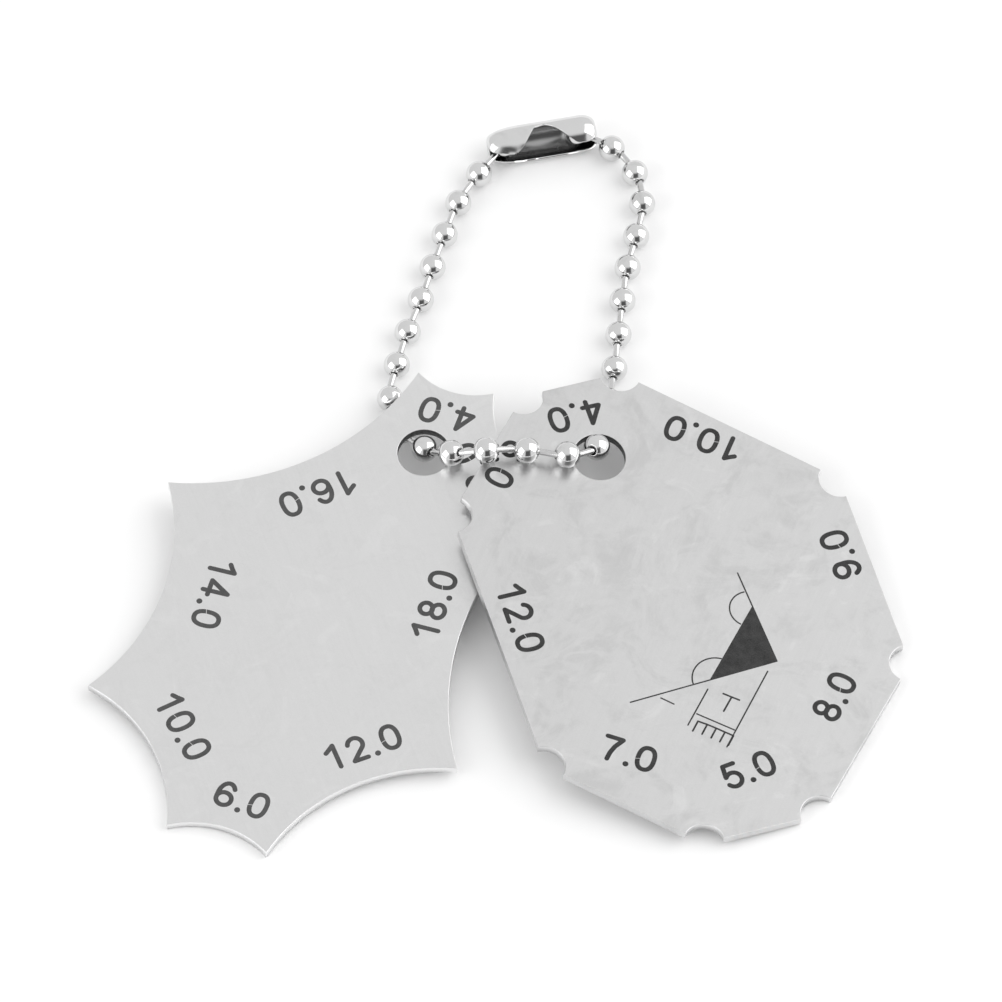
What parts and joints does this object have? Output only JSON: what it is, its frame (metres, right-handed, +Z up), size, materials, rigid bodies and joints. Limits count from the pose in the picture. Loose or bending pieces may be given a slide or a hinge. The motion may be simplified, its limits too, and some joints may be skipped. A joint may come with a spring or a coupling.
{
  "type": "fillet weld gauge set",
  "caption": "Two flat steel fillet weld gauges, one with hollow and one with straight faces, on a closed loop of ball chain.",
  "frame": {"origin": "middle of the set's bounding box on the table it lies on", "axes": "+Z up from the table, +X from the star gauge to the notched gauge, +Y towards the chain's coupling"},
  "size_m": [0.064, 0.069, 0.0066],
  "materials": {
    "brushed_steel": "satin",
    "chrome": "polished"
  },
  "bodies": {
    "front_run": {"bead_11": "chrome", "bead_12": "chrome", "bead_13": "chrome", "bead_14": "chrome", "bead_15": "chrome", "bead_16": "chrome", "link_10": "chrome", "link_11": "chrome", "link_12": "chrome", "link_13": "chrome", "link_14": "chrome", "link_15": "chrome", "link_16": "chrome"},
    "star_gauge": {"star_gauge": "brushed_steel"},
    "notched_gauge": {"notched_gauge": "brushed_steel"},
    "left_10": {"bead_10": "chrome", "link_09": "chrome"},
    "left_09": {"bead_09": "chrome", "link_08": "chrome"},
    "left_08": {"bead_08": "chrome", "link_07": "chrome"},
    "left_07": {"bead_07": "chrome", "link_06": "chrome"},
    "left_06": {"bead_06": "chrome", "link_05": "chrome"},
    "left_05": {"bead_05": "chrome", "link_04": "chrome"},
    "left_04": {"bead_04": "chrome", "link_03": "chrome"},
    "left_03": {"bead_03": "chrome", "link_02": "chrome"},
    "left_02": {"bead_02": "chrome", "link_01": "chrome", "bead_01": "chrome"},
    "right_17": {"bead_17": "chrome", "link_17": "chrome", "bead_18": "chrome", "link_18": "chrome"},
    "right_19": {"bead_19": "chrome", "link_19": "chrome"},
    "right_20": {"bead_20": "chrome", "link_20": "chrome"},
    "right_21": {"bead_21": "chrome", "link_21": "chrome"},
    "right_22": {"bead_22": "chrome", "link_22": "chrome"},
    "right_23": {"bead_23": "chrome", "link_23": "chrome"},
    "right_24": {"bead_24": "chrome", "link_24": "chrome"},
    "right_25": {"bead_25": "chrome", "link_25": "chrome"},
    "right_26": {"bead_26": "chrome", "link_26": "chrome", "bead_27": "chrome"},
    "connector": {"connector": "chrome"}
  },
  "joints": [
    {"name": "star_gauge_swing", "type": "hinge", "parent": "front_run", "child": "star_gauge", "pos_m": [-0.00568, 0.00145, 0.00262], "axis": [-0.0185, -0.0553, 0.9983], "range_deg": [-110, 6]},
    {"name": "notched_gauge_swing", "type": "hinge", "parent": "front_run", "child": "notched_gauge", "pos_m": [0.00809, 0.00057, 0.0033], "axis": [0.087, -0.0439, 0.9952], "range_deg": [-6, 60]},
    {"name": "fold_left_10", "type": "hinge", "parent": "front_run", "child": "left_10", "pos_m": [-0.00694, 0.00398, 0.00135], "axis": [0.9979, -0.0412, 0.0499], "range_deg": [-18, 8]},
    {"name": "fold_right_17", "type": "hinge", "parent": "front_run", "child": "right_17", "pos_m": [0.00837, 0.00335, 0.00211], "axis": [0.9979, -0.0412, 0.0499], "range_deg": [-18, 8]},
    {"name": "fold_left_09", "type": "hinge", "parent": "left_10", "child": "left_09", "pos_m": [-0.00831, 0.00695, 0.00105], "axis": [-0.9872, -0.1594, -0.0025], "range_deg": [-15, 15]},
    {"name": "fold_right_19", "type": "hinge", "parent": "right_17", "child": "right_19", "pos_m": [0.00926, 0.00978, 0.00109], "axis": [-0.9872, -0.1594, -0.0025], "range_deg": [-15, 15]},
    {"name": "fold_left_08", "type": "hinge", "parent": "left_09", "child": "left_08", "pos_m": [-0.00808, 0.01018, 0.00105], "axis": [0.9872, 0.1596, -0.0004], "range_deg": [-15, 15]},
    {"name": "fold_right_20", "type": "hinge", "parent": "right_19", "child": "right_20", "pos_m": [0.00961, 0.01304, 0.00104], "axis": [0.9872, 0.1596, -0.0004], "range_deg": [-15, 15]},
    {"name": "fold_left_07", "type": "hinge", "parent": "left_08", "child": "left_07", "pos_m": [-0.00728, 0.01333, 0.00105], "axis": [-0.9857, -0.1684, -0.0001], "range_deg": [-15, 15]},
    {"name": "fold_right_21", "type": "hinge", "parent": "right_20", "child": "right_21", "pos_m": [0.00994, 0.01628, 0.00105], "axis": [-0.9857, -0.1684, -0.0001], "range_deg": [-15, 15]},
    {"name": "fold_left_06", "type": "hinge", "parent": "left_07", "child": "left_06", "pos_m": [-0.00626, 0.01642, 0.00105], "axis": [0.9835, 0.1809, 0], "range_deg": [-15, 15]},
    {"name": "fold_right_22", "type": "hinge", "parent": "right_21", "child": "right_22", "pos_m": [0.01029, 0.01946, 0.00105], "axis": [0.9835, 0.1809, 0], "range_deg": [-15, 15]},
    {"name": "fold_left_05", "type": "hinge", "parent": "left_06", "child": "left_05", "pos_m": [-0.00531, 0.01953, 0.00105], "axis": [-0.984, -0.1784, 0], "range_deg": [-15, 15]},
    {"name": "fold_right_23", "type": "hinge", "parent": "right_22", "child": "right_23", "pos_m": [0.01094, 0.02247, 0.00105], "axis": [-0.984, -0.1784, 0], "range_deg": [-15, 15]},
    {"name": "fold_left_04", "type": "hinge", "parent": "left_05", "child": "left_04", "pos_m": [-0.00437, 0.02264, 0.00105], "axis": [0.9834, 0.1815, 0], "range_deg": [-15, 15]},
    {"name": "fold_right_24", "type": "hinge", "parent": "right_23", "child": "right_24", "pos_m": [0.01162, 0.02559, 0.00105], "axis": [0.9834, 0.1815, 0], "range_deg": [-15, 15]},
    {"name": "fold_left_03", "type": "hinge", "parent": "left_04", "child": "left_03", "pos_m": [-0.00339, 0.02573, 0.00106], "axis": [-0.9816, -0.1908, -0.0001], "range_deg": [-15, 15]},
    {"name": "fold_right_25", "type": "hinge", "parent": "right_24", "child": "right_25", "pos_m": [0.01142, 0.02861, 0.00106], "axis": [-0.9816, -0.1908, -0.0001], "range_deg": [-15, 15]},
    {"name": "fold_left_02", "type": "hinge", "parent": "left_03", "child": "left_02", "pos_m": [-0.00188, 0.0286, 0.00101], "axis": [0.9755, 0.2201, -0.0003], "range_deg": [-15, 15]},
    {"name": "fold_right_26", "type": "hinge", "parent": "right_25", "child": "right_26", "pos_m": [0.00995, 0.03127, 0.00101], "axis": [0.9755, 0.2201, -0.0003], "range_deg": [-15, 15]},
    {"name": "connector_roll", "type": "hinge", "parent": "left_02", "child": "connector", "pos_m": [0.00063, 0.03189, 0.00133], "axis": [0.9804, 0.1971, 0], "range_deg": [-5, 10]}
  ],
  "couplings": [
    {"joint": "fold_right_17", "follows": "fold_left_10", "ratio": 1},
    {"joint": "fold_right_19", "follows": "fold_left_09", "ratio": 1},
    {"joint": "fold_right_20", "follows": "fold_left_08", "ratio": 1},
    {"joint": "fold_right_21", "follows": "fold_left_07", "ratio": 1},
    {"joint": "fold_right_22", "follows": "fold_left_06", "ratio": 1},
    {"joint": "fold_right_23", "follows": "fold_left_05", "ratio": 1},
    {"joint": "fold_right_24", "follows": "fold_left_04", "ratio": 1},
    {"joint": "fold_right_25", "follows": "fold_left_03", "ratio": 1},
    {"joint": "fold_right_26", "follows": "fold_left_02", "ratio": 1}
  ]
}
